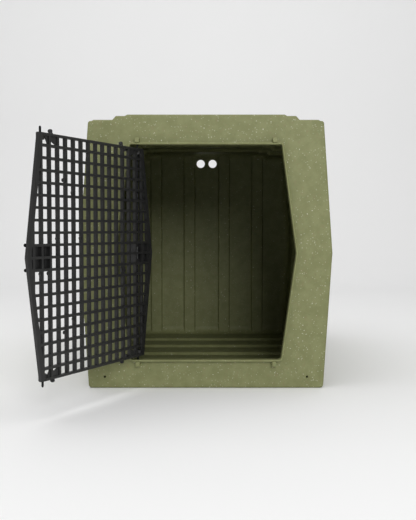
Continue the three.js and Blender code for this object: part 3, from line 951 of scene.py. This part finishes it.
def finger_slide(end_name, side):
    end = ENDS[end_name]
    x = PIN_LINES[side]
    mesh = bmesh.new()
    low_z, high_z = sorted((end * SLIDE_Z[0], end * SLIDE_Z[1]))
    tapered_block(mesh, (x - SLIDE_HALF, SLIDE_FRONT, low_z), (x + SLIDE_HALF, SLIDE_BACK, high_z))
    block = object_from(mesh, f"slide_block_{end_name}_{side}")
    eased(block, 0.8 * MM, 2)
    with_modifiers_applied(block)
    tab = bmesh.new()
    high = (x + TAB_HALF, SLIDE_FRONT + BITE, high_z)
    tapered_block(tab, (x - TAB_HALF, TAB_FRONT, low_z), high, (0.8 * MM, 1.2 * MM))
    tab_object = object_from(tab, "slide_tab")
    eased(tab_object, 0.8 * MM, 3)
    with_modifiers_applied(tab_object)
    combined(block, tab_object, "UNION")
    grooves = bmesh.new()
    for step in range(3):
        y = TAB_FRONT + (1 + 2 * step) * MM
        for level in (low_z, high_z):
            round_bar(grooves, (x - 6 * MM, y, level), (x + 6 * MM, y, level), GRIP_GROOVE, 16)
    combined(block, object_from(grooves, "tab_grooves"), "DIFFERENCE")
    seat = bmesh.new()
    foot, head = low_z - SEAT_PAST, high_z + SEAT_PAST
    round_bar(seat, (x, 0, foot), (x, 0, head), SEAT_RADIUS, 40)
    tapered_block(seat, (x - SEAT_RADIUS, 0, foot), (x + SEAT_RADIUS, 6 * MM, head))
    combined(block, object_from(seat, "rod_seat"), "DIFFERENCE")
    smooth_shaded(block)
    hang(block, f"rod_{end_name}_{side}", "door_nylon", nylon, f"finger_slide_{end_name}_{side}")


for end_name in ENDS:
    for side in PIN_LINES:
        finger_slide(end_name, side)
print("four finger slides")

# %% [markdown]
# The four rods are plain round steel with bullet-shaped tips, which find their own way into the holes of
# the lip. A cylinder with a bevelled end would look blunt, so a turned profile draws each one: the tip is a
# quarter ellipse, and the inner end has a small bevel.

# %% Rods
ROD_RADIUS = 2.5 * MM
ROD_REACH = DOOR_HALF_HEIGHT + 14 * MM
ROD_START = 16.5 * MM
ROD_TIP = 3.2 * MM
ROD_BEVEL = 0.4 * MM


def lock_rod(end_name, side):
    shoulder = ROD_REACH - ROD_TIP
    profile = [(0, ROD_START), (ROD_RADIUS - ROD_BEVEL, ROD_START), (ROD_RADIUS, ROD_START + ROD_BEVEL)]
    profile += [(ROD_RADIUS, shoulder)] + cap_arc(ROD_RADIUS, shoulder, ROD_TIP, 8)
    mesh = bmesh.new()
    place = Matrix.Translation((PIN_LINES[side], 0, 0)) @ Matrix.Scale(ENDS[end_name], 4, (0, 0, 1))
    turned(mesh, profile, place, 40)
    rod = object_from(mesh, f"round_rod_{end_name}_{side}")
    smooth_shaded(rod)
    hang(rod, f"rod_{end_name}_{side}", "black_steel", steel, f"lock_rod_{end_name}_{side}")


for end_name in ENDS:
    for side in PIN_LINES:
        lock_rod(end_name, side)
print("four rods, each", round((ROD_REACH - ROD_START) / MM), "mm long")

# %% [markdown]
# Behind each rod a coil spring pushes it home. A screw modifier could wind it, but with one pitch all the
# way. Here the wire is lofted ring by ring along a helix whose pitch changes, so the end turns close up
# flat, as a spring maker closes them.

# %% Springs
SPRING_Y = -2.5 * MM
SPRING_LOW = 1.8 * MM
SPRING_HIGH = 14.9 * MM
WIRE = 0.5 * MM
WIRE_SIDES = 10
SPRING_RADIUS = 3.1 * MM
SPRING_TURNS = 7
STEPS_A_TURN = 28
SPRING_LENGTH = SPRING_HIGH - SPRING_LOW


def spring_height(turn):
    """The height of the wire's middle: a wire's width for each end turn, and an even climb in between."""
    end_turns = min(turn, 1) + max(turn - SPRING_TURNS + 1, 0)
    climb = min(max((turn - 1) / (SPRING_TURNS - 2), 0), 1)
    return SPRING_LOW + WIRE + 2 * WIRE * end_turns + climb * (SPRING_LENGTH - 6 * WIRE)


def coil_spring(end_name, side):
    end = ENDS[end_name]
    mesh = bmesh.new()
    rings = []
    for step in range(SPRING_TURNS * STEPS_A_TURN + 1):
        turn = step / STEPS_A_TURN
        out = Vector((math.cos(2 * math.pi * turn), math.sin(2 * math.pi * turn), 0))
        centre = Vector((PIN_LINES[side], SPRING_Y, spring_height(turn))) + out * SPRING_RADIUS
        around = [2 * math.pi * part / WIRE_SIDES for part in range(WIRE_SIDES)]
        points = [centre + out * WIRE * math.cos(a) + Vector((0, 0, WIRE * math.sin(a))) for a in around]
        rings.append([mesh.verts.new((point.x, point.y, point.z * end)) for point in points])
    loft(mesh, rings)
    mesh.faces.new(rings[0])
    mesh.faces.new(rings[-1])
    spring = object_from(mesh, f"coil_spring_{end_name}_{side}")
    smooth_shaded(spring, 60)
    hang(spring, "door", "spring_steel", spring_wire, f"rod_spring_{end_name}_{side}")
    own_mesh(spring)


for end_name in ENDS:
    for side in PIN_LINES:
        coil_spring(end_name, side)

# %% [markdown]
# Four rubber bumpers lean out of the door's corners and stop it rattling against the lip. Each is a turned
# shape, a bullet on a narrow stem, with the stem pressed into its socket. Turning gives it clean rings that
# shade smoothly, which a sphere joined to a cylinder would not.

# %% Bumpers
STEM_RADIUS = 2.4 * MM
STEM_LENGTH = 9 * MM
CROWN = 3.5 * MM


def corner_bumper(end_name, side):
    half = BUMPER_HEAD / 2
    foot = -half - STEM_LENGTH
    profile = [(0, foot), (STEM_RADIUS - 0.4 * MM, foot), (STEM_RADIUS, foot + 0.5 * MM)]
    profile += [(STEM_RADIUS, -half), (3.5 * MM, -half), (3.9 * MM, -half + 0.5 * MM)]
    profile += [(4.4 * MM, -half + 2.5 * MM), (BUMPER_RADIUS, -half + 4 * MM), (BUMPER_RADIUS, half - CROWN)]
    profile += cap_arc(BUMPER_RADIUS, half - CROWN, CROWN, 8)
    mesh = bmesh.new()
    turned(mesh, profile, bumper_place(side, ENDS[end_name]), 40)
    bumper = object_from(mesh, f"rubber_bumper_{end_name}_{side}")
    smooth_shaded(bumper)
    hang(bumper, "door", "black_rubber", rubber, f"corner_bumper_{end_name}_{side}")


for end_name in ENDS:
    for side in PIN_LINES:
        corner_bumper(end_name, side)
print("four bumpers,", round(2 * BUMPER_RADIUS / MM), "mm thick")

# %% [markdown]
# The eight screws that hold the housings are small pan-heads with a cross recess. The head bulges more than
# a circle would, as a pressed pan-head does. The two arms of the recess are cut one at a time, because
# crossed blocks share faces and can spoil a single boolean.

# %% Screws
SCREW_HEAD = 3.6 * MM
SCREW_DEPTH = 2.2 * MM
SCREW_SUNK = 0.3 * MM
RIM_SHARE = 0.45
DOME_STEPS = 6
RECESS_ARM = 1.9 * MM
RECESS_HALF = 0.45 * MM
RECESS_DEPTH = 1.2 * MM


def pan_head_screw(side, number, x, z):
    profile = [(0, 0), (SCREW_HEAD, 0), (SCREW_HEAD, SCREW_DEPTH * RIM_SHARE)]
    for step in range(1, DOME_STEPS):
        angle = math.pi / 2 * step / DOME_STEPS
        share = RIM_SHARE + (1 - RIM_SHARE) * math.sin(angle)
        profile.append((SCREW_HEAD * math.cos(angle) ** 0.6, SCREW_DEPTH * share))
    profile.append((0, SCREW_DEPTH))
    foot = HOUSING_FRONT - SCREW_SUNK
    mesh = bmesh.new()
    turned(mesh, profile, Matrix.Translation((x, foot, z)) @ Matrix.Rotation(math.pi / 2, 4, "X"))
    screw = object_from(mesh, f"pan_head_screw_{side}_{number}")
    front = foot - SCREW_DEPTH
    for wide, tall in ((RECESS_ARM, RECESS_HALF), (RECESS_HALF, RECESS_ARM)):
        slot = bmesh.new()
        tapered_block(slot, (x - wide, front - BITE, z - tall), (x + wide, front + RECESS_DEPTH, z + tall))
        combined(screw, object_from(slot, "recess"), "DIFFERENCE")
    smooth_shaded(screw)
    hang(screw, "door", "black_steel", steel, f"latch_screw_{side}_{number}")


corners = [(dx, dz) for dx in (-1, 1) for dz in (-1, 1)]
for side in PIN_LINES:
    for number, (dx, dz) in enumerate(corners, 1):
        pan_head_screw(side, number, latch_bar(PIN_LINES[side]) + dx * COLUMN, dz * ROW)
print("eight screws,", round(2 * SCREW_HEAD / MM, 1), "mm across")

# %% [markdown]
# The studio floor is a sheet of pale paper that curves up behind the kennel. A floor plane and a wall would
# meet in a hard line, so one strip runs along the floor, round a quarter circle and up.

# %% Paper sweep
SWEEP_FRONT = -9.0
SWEEP_HALF = 9.0
SWEEP_RADIUS = 1.2
SWEEP_BACK = 3.6
SWEEP_TOP = 7.0
SWEEP_STEPS = 16


def studio_paper():
    material, tree, shader, where = new_material("studio_paper", 0.95)
    cloud = noise(tree, where, 900 * MM, 2.0)
    tree.links.new(blended(tree, cloud, "F1F1F1", "F3F3F3"), shader.inputs["Base Color"])
    return material


def paper_sweep():
    curve_start = SWEEP_BACK - SWEEP_RADIUS
    path = [(SWEEP_FRONT, 0.0), (curve_start, 0.0)]
    for step in range(1, SWEEP_STEPS + 1):
        angle = math.pi / 2 * step / SWEEP_STEPS
        path.append((curve_start + SWEEP_RADIUS * math.sin(angle), SWEEP_RADIUS * (1 - math.cos(angle))))
    path.append((SWEEP_BACK, SWEEP_TOP))
    mesh = bmesh.new()
    left, right = [[mesh.verts.new((x, y, z)) for y, z in path] for x in (-SWEEP_HALF, SWEEP_HALF)]
    for index in range(len(path) - 1):
        mesh.faces.new((left[index], right[index], right[index + 1], left[index + 1]))
    paper = object_from(mesh, "studio_sweep")
    paper.data.shade_smooth()
    paper.data.materials.append(studio_paper())


paper_sweep()
print("the paper is", 2 * SWEEP_HALF, "m wide")

# %% [markdown]
# Three soft lights stand round the kennel. A large one overhead gives the satin plastic its soft sheen, one
# in front and to the right reaches into the cabin and shades the ribs of the back wall, and a long one
# washes the paper behind. Pale surroundings fill the shadows.

# %% Soft lights and surroundings
def soft_light(name, place, aim, size, power):
    data = bpy.data.lights.new(name, "AREA")
    data.shape = "RECTANGLE"
    data.size, data.size_y = size
    data.energy = power
    light = bpy.data.objects.new(name, data)
    light.location = place
    light.rotation_euler = (Vector(aim) - Vector(place)).to_track_quat("-Z", "Y").to_euler()
    bpy.context.scene.collection.objects.link(light)


soft_light("overhead_softbox", (-0.6, -0.7, 3.4), (0, 0, 0.2), (3.0, 3.0), 47)
soft_light("front_softbox", (0.8, -4.6, 1.8), (0, -0.2, 0.3), (1.5, 1.5), 93)
soft_light("wall_softbox", (0, 1.4, 3.4), (0, 3.2, 0.2), (6.0, 1.0), 20)
world = bpy.data.worlds.new("studio_world")
world.use_nodes = True
surroundings = world.node_tree.nodes["Background"]
surroundings.inputs["Color"].default_value = linear("F2F2F2")
surroundings.inputs["Strength"].default_value = 0.52
bpy.context.scene.world = world
bpy.context.scene.view_settings.view_transform = "Standard"
print("three lights and pale surroundings")
